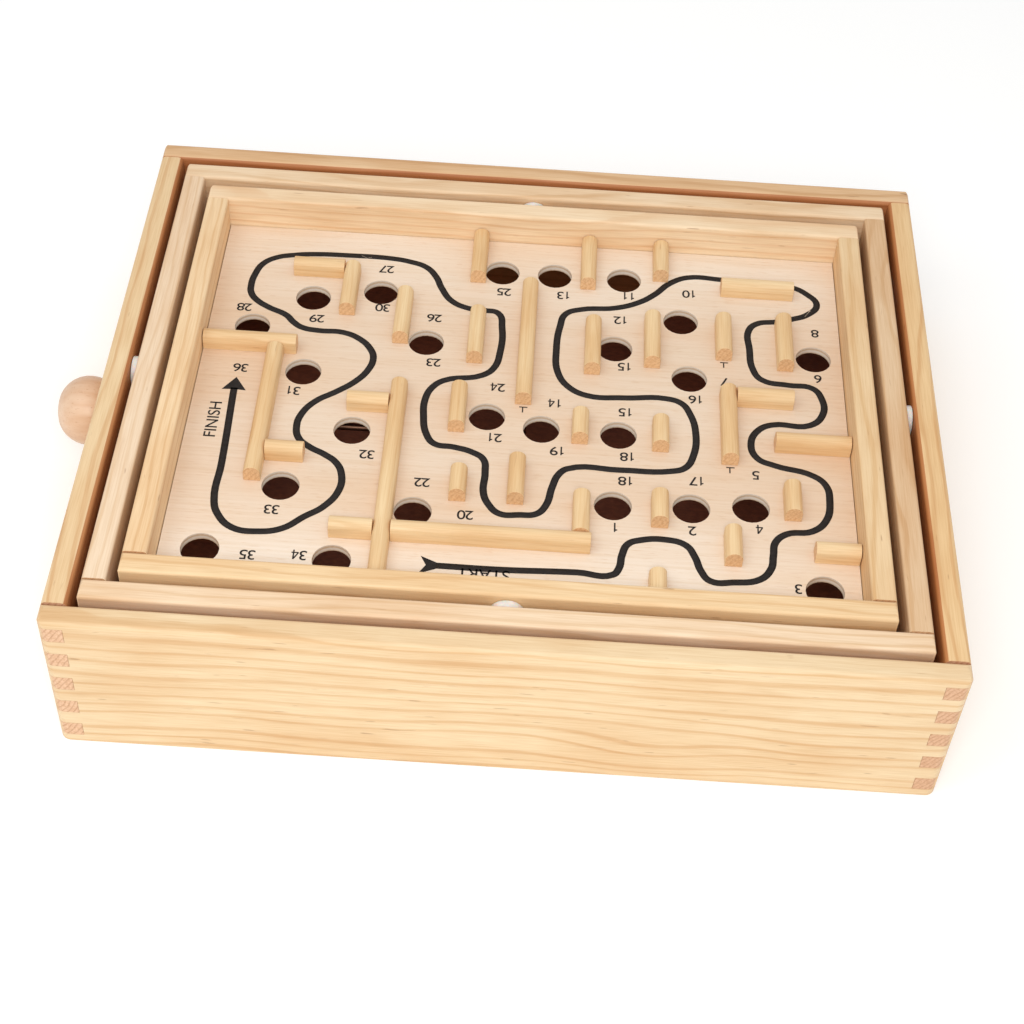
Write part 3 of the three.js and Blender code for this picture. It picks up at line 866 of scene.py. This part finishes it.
def set_stage():
    bpy.ops.object.select_all(action="DESELECT")
    bpy.ops.mesh.primitive_plane_add(size=FLOOR_SIZE, location=(0, 0, -0.2 * MM))
    floor = bpy.context.object
    floor.name = "floor"
    material, tree, shader = new_material("pale_paper_sweep")
    shader.inputs["Base Color"].default_value = colour("#FBFBFA")
    shader.inputs["Roughness"].default_value = 0.9
    shader.inputs["Emission Color"].default_value = colour("#FFFFFF")
    shader.inputs["Emission Strength"].default_value = FLOOR_GLOW
    floor.data.materials.append(material)
    world = bpy.data.worlds.new("studio")
    bpy.context.scene.world = world
    world.use_nodes = True
    background = world.node_tree.nodes["Background"]
    background.inputs["Color"].default_value = colour("#FFFFFF")
    background.inputs["Strength"].default_value = WORLD_STRENGTH
    soft_light("front_light", FRONT_PLACE, FRONT_SIZE, FRONT_POWER)
    soft_light("key_light", KEY_PLACE, KEY_SIZE, KEY_POWER)


set_camera()
set_stage()
bpy.context.scene.view_settings.view_transform = "Standard"


# ---- Woods. Each member has its own cut of timber, so grain and tint differ from one to the next.
# Painted shade for the case walls: their inner faces are multiplied by this darker reddish colour, in place
# of the shade and the ramp's bounce light inside the case.
INNER_FACE_PAINTED_SHADE = "#D8AB8C"
back_wall_pine = pine(
    "pine_back_wall", "X", "#EBD1A9", "#D5A871", "#E2B894", pith=(150.0, -90.0), ring=5.6, streaks=0.4,
    contrast=0.7, knot=(-48.0, 14.0), inside=INNER_FACE_PAINTED_SHADE
)
front_wall_pine = pine(
    "pine_front_wall", "X", "#E3BF95", "#C99B6A", "#D3A67C", pith=(-60.0, -40.0), ring=3.4, seed=3.1,
    streaks=0.9, inside=INNER_FACE_PAINTED_SHADE
)
right_wall_pine = pine(
    "pine_right_wall", "Y", "#EBCFA4", "#D4A774", "#E4BC98", pith=(90.0, 10.0), ring=3.6, seed=5.3,
    inside=INNER_FACE_PAINTED_SHADE
)
left_wall_pine = pine(
    "pine_left_wall", "Y", "#EAC795", "#D2A068", "#D9AE8A", pith=(-190.0, 20.0), ring=5.0, seed=8.7,
    inside=INNER_FACE_PAINTED_SHADE
)
gimbal_pine = {
    "front": pine("spruce_gimbal_front", "X", "#F0D6B4", "#DFBB90", "#D9B58C", seed=11.2, ring=3.0),
    "back": pine("spruce_gimbal_back", "X", "#F0D5B4", "#E0BD93", "#D9B58C", seed=14.9, ring=3.4),
    "left": pine("spruce_gimbal_left", "Y", "#E2C29C", "#D2A97A", "#D9B58C", seed=17.4, ring=3.2),
    "right": pine("spruce_gimbal_right", "Y", "#F0D7B9", "#E0BE96", "#D9B58C", seed=20.6, ring=3.8),
}
maze_pine = {
    "front": pine("spruce_maze_front", "X", "#F6DDBA", "#E8C094", "#D6AC80", seed=23.8, ring=4.2),
    "back": pine("spruce_maze_back", "X", "#F0D2A6", "#E0B885", "#D6AC80", seed=26.1, ring=4.4),
    "left": pine("spruce_maze_left", "Y", "#EACB9F", "#DAB07A", "#D6AC80", seed=29.5, ring=3.6),
    "right": pine("spruce_maze_right", "Y", "#F4D7AE", "#E3BC8C", "#D6AC80", seed=32.3, ring=4.0),
}
STRIP_TINT = "#EBD2B4"
strip_wood = {
    "cross": pine(
        "ramin_strip_across", "X", "#F0D3A6", "#E4C08E", "#E6BE90", seed=41, ring=2.6, streaks=0.3,
        tint=STRIP_TINT, end_contrast=0.22
    ),
    "run": pine(
        "ramin_strip_lengthwise", "Y", "#EFD2A4", "#E4C08E", "#E6BE90", seed=44, ring=2.6, streaks=0.3,
        tint=STRIP_TINT, end_contrast=0.22
    ),
}
cleat_pine = pine("pine_cleat", "X", "#DDBF92", "#C79C68", "#C79C6C", seed=47.0)
post_pine = pine("pine_post", "Y", "#D9B98C", "#C59A68", "#C79C6C", seed=51.0)
board_ply = plywood("poplar_plywood")
ink = screen_ink("screen_print_ink")
beech = {"X": turned_beech("turned_beech_side", "X"), "Y": turned_beech("turned_beech_front", "Y")}
ramp_board = hardboard("hardboard_ramp", "#985640", "#B0684C", 0.5)
base_board = hardboard("hardboard_base", "#6E4A33", "#8A6144", 0.6)
white_nylon = nylon("natural_nylon")
browned_steel = metal("browned_steel", "#7A5848", "#94705A", 0.4, 20.0)
bright_steel = metal("nickel_plated_steel", "#A9A9A8", "#D2D2D0", 0.28, 6.0)
ball_steel = metal("polished_ball_steel", "#D3D3D4", "#E6E6E6", 0.06, 0.0)
cord = braided_cord("braided_cord")


# ---- Timber members: cleaned copies of the frame's own shapes
def clean_copy(node_name):
    """The node's own shape as one smooth, closed piece, with its faceted walls made flat faces."""
    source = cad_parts[node_name]
    piece = bpy.data.objects.new(node_name + "_look", source.data.copy())
    bpy.context.scene.collection.objects.link(piece)
    in_edit_mode(
        piece,
        lambda: bpy.ops.mesh.remove_doubles(threshold=0.00001),
        lambda: bpy.ops.mesh.dissolve_limited(angle_limit=math.radians(1.0)),
        lambda: bpy.ops.mesh.normals_make_consistent(inside=False),
    )
    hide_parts(node_name)
    return piece


def dress(node_name, body, material, degrees=35):
    piece = clean_copy(node_name)
    smooth(piece, degrees)
    finish_piece(piece, body, material)


dress("case_back_wall", "case", back_wall_pine)
dress("case_front_wall", "case", front_wall_pine)
dress("case_left_wall", "case", left_wall_pine)
dress("case_right_wall", "case", right_wall_pine)
dress("base_panel", "case", base_board)
dress("return_ramp", "case", ramp_board)
dress("ramp_cleat", "case", cleat_pine)
dress("shaft_post", "case", post_pine)
for side_name in ("front", "back", "left", "right"):
    dress(f"gimbal_{side_name}_rail", "gimbal", gimbal_pine[side_name])
    dress(f"maze_{side_name}_rail", "maze", maze_pine[side_name])
dress("maze_board", "maze", board_ply)

# ---- Pins, shafts, cords, springs and eyes: the frame's own shapes with smooth round faces
for name in ("gimbal_left_pin", "gimbal_right_pin"):
    dress(name, "case", white_nylon, 40)
for name in ("maze_front_pin", "maze_back_pin"):
    dress(name, "gimbal", white_nylon, 40)
dress("side_shaft", "side_drive", browned_steel, 40)
dress("front_shaft", "front_drive", browned_steel, 40)
for frame_name, eye_sides in (("gimbal", ("front", "back")), ("maze", ("left", "right"))):
    dress(frame_name + "_tension_spring", frame_name, bright_steel, 100)
    for side_name in eye_sides:
        dress(f"{frame_name}_{side_name}_eye", frame_name, bright_steel, 70)


def string_halves(frame_name, shaft_name, axis):
    """A drive string in two halves, cut over the middle of its shaft, each with the cord's finish and its
    place baked into its mesh."""
    node_name = frame_name + "_string"
    shaft_low, shaft_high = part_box(shaft_name)
    string_low, string_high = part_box(node_name)
    middle = (shaft_low + shaft_high) / 2
    reach = (shaft_high - shaft_low)[axis] / 2 + STRING_ROOM * MM
    for end_name, outward, far_end in (("low", -1, string_low), ("high", 1, string_high)):
        half = clean_copy(node_name)
        half.name = f"{node_name}_look_{end_name}"
        cut = Vector((0, 0, 0))
        cut[axis] = outward
        in_edit_mode(
            half,
            lambda: bpy.ops.mesh.bisect(plane_co=middle, plane_no=cut, use_fill=True, clear_inner=True),
            lambda: bpy.ops.mesh.select_all(action="SELECT"),
            lambda: bpy.ops.mesh.normals_make_consistent(inside=False),
        )
        smooth(half, 80)
        half.data.materials.clear()
        half.data.materials.append(cord)
        start = middle.copy()
        start[axis] += outward * reach
        end = middle.copy()
        end[axis] = far_end[axis]
        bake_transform(half)


string_halves("gimbal", "side_shaft", 1)
string_halves("maze", "front_shaft", 0)


def polished_ball():
    """The ball, with its faces divided for an even curve."""
    piece = clean_copy("steel_ball")
    in_edit_mode(piece, lambda: bpy.ops.mesh.subdivide(number_cuts=2, smoothness=1.0))
    smooth(piece, 60)
    finish_piece(piece, "ball", ball_steel)


polished_ball()


# ---- Wall strips: each is a bar with its two top edges rounded over, joined ones cut short of each other
def strip_piece(name, node_name, direction, at, start, end):
    low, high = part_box(node_name)
    width = STRIP_WIDTH * MM
    centre = Vector((at, (start + end) / 2, 0)) if direction == "run" else Vector(((start + end) / 2, at, 0))
    centre = centre * MM
    centre.z = (low.z + high.z) / 2
    length = (end - start) * MM
    size = (width, length, high.z - low.z) if direction == "run" else (length, width, high.z - low.z)
    bpy.ops.object.select_all(action="DESELECT")
    bpy.ops.mesh.primitive_cube_add(size=1)
    piece = bpy.context.object
    piece.name = name
    put_in_mesh(piece, Matrix.Translation(centre) @ Matrix.Diagonal((*size, 1)))
    grain_axis = 1 if direction == "run" else 0

    def pick(test):
        """Selects the edges that pass the test, which takes the edge's two corners."""
        bpy.ops.mesh.select_all(action="DESELECT")
        bpy.ops.object.mode_set(mode="OBJECT")
        points = piece.data.vertices
        for edge in piece.data.edges:
            edge.select = test(points[edge.vertices[0]].co, points[edge.vertices[1]].co)
        bpy.ops.object.mode_set(mode="EDIT")

    def along_top(a, b):
        return min(a.z, b.z) > high.z - 0.1 * MM and abs(a[grain_axis] - b[grain_axis]) > 0.1 * MM

    def round_end(a, b):
        same_end = abs(a[grain_axis] - b[grain_axis]) < 0.01 * MM
        return same_end and max(a.z, b.z) > low.z + 0.1 * MM

    in_edit_mode(
        piece,
        lambda: bpy.ops.mesh.select_mode(type="EDGE"),
        lambda: pick(along_top),
        lambda: bpy.ops.mesh.bevel(offset=STRIP_ROUNDING * width, segments=8, profile=0.5),
        lambda: bpy.ops.mesh.remove_doubles(threshold=0.00001),
        lambda: pick(round_end),
        lambda: bpy.ops.mesh.bevel(offset=STRIP_END_BEVEL * MM, segments=2),
    )
    smooth(piece, 40)
    finish_piece(piece, "maze", strip_wood[direction])
    return piece


for node_name in sorted(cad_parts):
    if node_name.startswith("strip_") and node_name not in JOINED_STRIPS:
        low, high = [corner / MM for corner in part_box(node_name)]
        middle = (low + high) / 2
        if high.x - low.x > high.y - low.y:
            single = strip_piece(node_name + "_look", node_name, "cross", middle.y, low.x, high.x)
        else:
            single = strip_piece(node_name + "_look", node_name, "run", middle.x, low.y, high.y)
        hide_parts(node_name)
for node_name, bars in JOINED_STRIPS.items():
    for index, bar in enumerate(bars):
        joined = strip_piece(f"{node_name}_look_{index + 1}", node_name, *bar)
        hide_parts(node_name)


# ---- Knobs: rings drawn out from the neck over a round belly to a flattened face
def knob_piece(name, start, direction):
    """start is the neck's middle in metres and direction the way the knob points."""
    bpy.ops.object.select_all(action="DESELECT")
    bpy.ops.mesh.primitive_circle_add(vertices=64, radius=KNOB_RINGS[0][1] * MM, fill_type="NGON")
    piece = bpy.context.object
    piece.name = name

    def draw_out():
        for (height, radius), (next_height, next_radius) in zip(KNOB_RINGS, KNOB_RINGS[1:]):
            step = (0, 0, (next_height - height) * MM)
            bpy.ops.mesh.extrude_region_move(TRANSFORM_OT_translate={"value": step})
            scale = next_radius / radius
            bpy.ops.transform.resize(value=(scale, scale, 1))

    in_edit_mode(
        piece,
        draw_out,
        lambda: bpy.ops.mesh.select_all(action="SELECT"),
        lambda: bpy.ops.mesh.remove_doubles(threshold=0.000001),
        lambda: bpy.ops.mesh.normals_make_consistent(inside=False),
    )
    turn = Vector(direction).to_track_quat("Z", "Y").to_matrix().to_4x4()
    put_in_mesh(piece, Matrix.Translation(start) @ turn)
    smooth(piece, 50)
    return piece


low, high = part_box("side_knob")
middle = (low + high) / 2
side_knob = knob_piece("side_knob_look", Vector((low.x, middle.y, middle.z)), (1, 0, 0))
finish_piece(side_knob, "side_drive", beech["X"])
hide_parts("side_knob")
low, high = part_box("front_knob")
middle = (low + high) / 2
front_knob = knob_piece("front_knob_look", Vector((middle.x, high.y, middle.z)), (0, -1, 0))
finish_piece(front_knob, "front_drive", beech["Y"])
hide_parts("front_knob")


# ---- The print: a route ribbon with an arrow head, and generic words and numbers
INK_MIDDLE = (BOARD_TOP + INK_LIFT + INK_THICKNESS / 2) * MM

# The route from the finish back to the start, in millimetres on the board.
ROUTE = [
    (105, -0.5), (105, 2), (104, 37), (104, 54), (102, 60), (96, 66), (87, 67), (79, 65), (72, 59),
    (66, 54), (61.5, 46), (61.5, 38), (64, 33), (68.5, 29.5), (74, 26.5), (78.5, 22.5), (80, 16.5),
    (79, 10.5), (75, 4), (67.5, -2), (61.5, -7.5), (57.3, -14), (56, -20.5), (57.5, -25), (62, -30),
    (68.5, -33), (78, -33.2), (84.5, -34.4), (88, -37), (91, -40.4), (98.5, -44.3), (103.6, -48),
    (106, -51.5), (106.7, -56), (106, -62.5), (103.8, -68.5), (99.5, -72.3), (92, -74.7),
    (85, -75.8), (70.5, -76.4), (54.5, -76.2), (47, -75), (40.2, -72.3), (36, -67), (33.5, -61),
    (29, -54), (22, -50.5), (16, -50),
    (11, -49), (9, -41), (9, -28), (11, -19), (15, -15), (29, -11), (33, -7), (35, -1), (35, 7),
    (33, 17), (30, 21), (23, 22), (16, 24), (12, 27), (11, 33), (11, 43), (9, 48), (5, 52),
    (-2, 52), (-8, 51), (-11, 47), (-13, 38), (-15, 32), (-18, 29), (-37, 28), (-55, 27),
    (-60, 25), (-63, 19), (-64, 7), (-62, -2), (-59, -7), (-53, -9), (-38, -8), (-24, -8),
    (-17, -12), (-13, -19), (-12, -31), (-13, -44), (-15, -51), (-21, -54), (-34, -56),
    (-43, -60), (-49, -65), (-55, -72), (-62, -76), (-75, -76), (-103, -74), (-108, -71),
    (-112, -65), (-108, -59), (-102, -56), (-96, -54), (-88, -52), (-85, -48), (-85, -38),
    (-86, -27), (-89, -22), (-99, -20), (-108, -19), (-111, -14), (-111, -6), (-106, 0),
    (-92, 1), (-87, 4), (-84, 11), (-86, 18), (-92, 21), (-106, 25), (-110, 29), (-111, 36),
    (-109, 46), (-104, 51), (-95, 53), (-91, 57), (-90, 63), (-89, 69), (-85, 74), (-76, 76),
    (-68, 76), (-65, 72), (-63, 66), (-60, 61), (-53, 59), (-44, 60), (-40, 62), (-38, 67),
    (-37, 73), (-35, 76), (-23, 76), (3, 77), (25, 77),
]
ARROW_HEAD = [(105, -6), (109.5, 0.5), (105, 0.2), (100.7, 0.5)]
ARROW_TAIL = [(25, 78.4), (31, 81), (28.5, 77), (30.5, 73.2), (25, 75.6)]

# The numbers stand beside the holes and along the route: figures, and the place of their middle.
NUMBERS = [
    ("25", 9.4, -61.3), ("13", -13.8, -61.4), ("11", -38.9, -63.2), ("30", 55.1, -48.1),
    ("27", 55.6, -70), ("29", 79.4, -39.9), ("28", 107.5, -43.7), ("31", 83.6, -1.1),
    ("32", 53.5, 28), ("33", 83.7, 56.5), ("35", 89.1, 77.3), ("34", 71.7, 76.1),
    ("23", 33.6, -20.3), ("26", 35, -44.2), ("21", 8.8, 16), ("24", 9, -9.4), ("19", -14.3, 20.6),
    ("14", -12.5, -3), ("18", -39.5, 21.2), ("15", -38.5, -0.8), ("18", -39, 32.9),
    ("15", -37.9, -24.4), ("12", -36.1, -49.5), ("10", -62.6, -66.7), ("16", -64.4, -9.6),
    ("6", -110.2, -24.5), ("8", -110.4, -49), ("1", -35.4, 54.9), ("2", -62.2, 54),
    ("17", -64.3, 30.8), ("4", -85.6, 51.6), ("5", -85.2, 26.1), ("3", -97.9, 76.8),
    ("20", 16.7, 53.4), ("22", 32.9, 39.6), ("7", -75.2, -19.9), ("36", 104.2, -11.2),
]
# Short marks that show past the strips' ends, where the strips were laid out.
TICKS = [(-0.8, 1.2), (-75, -28.6), (-76, 24.6)]
TICK_OUTLINE = [
    (-1.7, -1.4), (1.3, -1.4), (1.3, -0.95), (0.22, -0.95),
    (0.22, 1.5), (-0.22, 1.5), (-0.22, -0.95), (-1.7, -0.95),
]
NUMBER_HEIGHT = 4.1
NUMBER_STRETCH = 1.12
DIGIT_ADVANCE = 2.75
# The figure one, drawn with a flag: x and y in shares of its height.
FIGURE_ONE = [
    (-0.04, -0.5), (0.09, -0.5), (0.09, 0.5), (0.0, 0.5),
    (-0.05, 0.37), (-0.19, 0.31), (-0.19, 0.22), (-0.04, 0.22),
]
# The figure four and the open triangle inside it.
FIGURE_FOUR = [
    (0.06, -0.5), (0.18, -0.5), (0.18, -0.27), (0.3, -0.27), (0.3, -0.16), (0.18, -0.16),
    (0.18, 0.5), (0.05, 0.5), (-0.3, -0.14), (-0.3, -0.27), (0.06, -0.27),
]
FOUR_INSIDE = [(0.06, -0.16), (-0.18, -0.16), (0.06, 0.27)]
DRAWN_FIGURES = {"1": [FIGURE_ONE], "4": [FIGURE_FOUR, FOUR_INSIDE]}
WORD_HEIGHT = 4.3


def flat_outline(name, *outlines):
    """A flat printed patch: a filled polygon curve, with any inner outline left open, turned to a mesh
    at the board's top."""
    curve = bpy.data.curves.new(name, "CURVE")
    curve.dimensions = "2D"
    curve.fill_mode = "BOTH"
    curve.extrude = INK_THICKNESS / 2 * MM
    for corners in outlines:
        spline = curve.splines.new("POLY")
        spline.points.add(len(corners) - 1)
        for point, (x, y) in zip(spline.points, corners):
            point.co = (x * MM, y * MM, 0, 1)
        spline.use_cyclic_u = True
    as_mesh(bpy.data.objects.new(name, curve))


def as_mesh(piece):
    """Makes a curve object a mesh that lies on the board, then merges its doubled points."""
    bpy.context.scene.collection.objects.link(piece)
    select_only(piece)
    bpy.ops.object.convert(target="MESH")
    piece.data.transform(Matrix.Translation((0, 0, INK_MIDDLE)))
    in_edit_mode(piece, lambda: bpy.ops.mesh.remove_doubles(threshold=0.000001))
    finish_piece(piece, "maze", ink)
    return piece


def route_ribbon():
    curve = bpy.data.curves.new("print_route", "CURVE")
    curve.dimensions = "3D"
    curve.twist_mode = "Z_UP"
    curve.resolution_u = 6
    curve.extrude = ROUTE_WIDTH / 2 * MM
    spline = curve.splines.new("BEZIER")
    spline.bezier_points.add(len(ROUTE) - 1)
    for point, (x, y) in zip(spline.bezier_points, ROUTE):
        point.co = (x * MM, y * MM, 0)
        point.handle_left_type = "AUTO"
        point.handle_right_type = "AUTO"
        point.tilt = math.pi / 2
    piece = as_mesh(bpy.data.objects.new("print_route", curve))
    apply_modifier(piece, "SOLIDIFY", thickness=INK_THICKNESS * MM, offset=0)
    in_edit_mode(piece, lambda: bpy.ops.mesh.normals_make_consistent(inside=False))


def lettering(name, text, x, y, height, turn=0.0, stretch=1.0):
    """Upright or turned text, centred on x and y, turned to a mesh at the board's top."""
    font = bpy.data.curves.new(name, "FONT")
    font.body = text
    font.align_x = "CENTER"
    font.align_y = "CENTER"
    font.size = height * MM / 0.7
    font.extrude = INK_THICKNESS / 2 * MM
    font.offset = 0.03 * MM
    piece = bpy.data.objects.new(name, font)
    bpy.context.scene.collection.objects.link(piece)
    select_only(piece)
    bpy.ops.object.convert(target="MESH")
    place = Matrix.Translation((x * MM, y * MM, INK_MIDDLE)) @ Matrix.Rotation(math.radians(turn), 4, "Z")
    piece.data.transform(place @ Matrix.Diagonal((stretch, 1, 1, 1)))
    finish_piece(piece, "maze", ink)


def number(index, text, x, y):
    """A number set figure by figure, so that each one takes the same room."""
    first = x - DIGIT_ADVANCE * (len(text) - 1) / 2
    for place, figure in enumerate(text):
        name = f"print_number_{index + 1}_{place + 1}"
        middle = first + place * DIGIT_ADVANCE
        if figure in DRAWN_FIGURES:
            flat_outline(
                name,
                *(
                    [(middle + dx * NUMBER_HEIGHT, y + dy * NUMBER_HEIGHT) for dx, dy in outline]
                    for outline in DRAWN_FIGURES[figure]
                ),
            )
        else:
            lettering(name, figure, middle, y, NUMBER_HEIGHT, stretch=NUMBER_STRETCH)


route_ribbon()
flat_outline("print_arrow_head", ARROW_HEAD)
flat_outline("print_arrow_tail", ARROW_TAIL)
for index, (x, y) in enumerate(TICKS):
    flat_outline(f"print_tick_{index + 1}", [(x + dx, y + dy) for dx, dy in TICK_OUTLINE])
for index, (text, x, y) in enumerate(NUMBERS):
    number(index, text, x, y)
lettering("print_word_start", "START", 8.8, 79.3, WORD_HEIGHT)
lettering("print_word_finish", "FINISH", 110.2, 15.8, WORD_HEIGHT, -90)
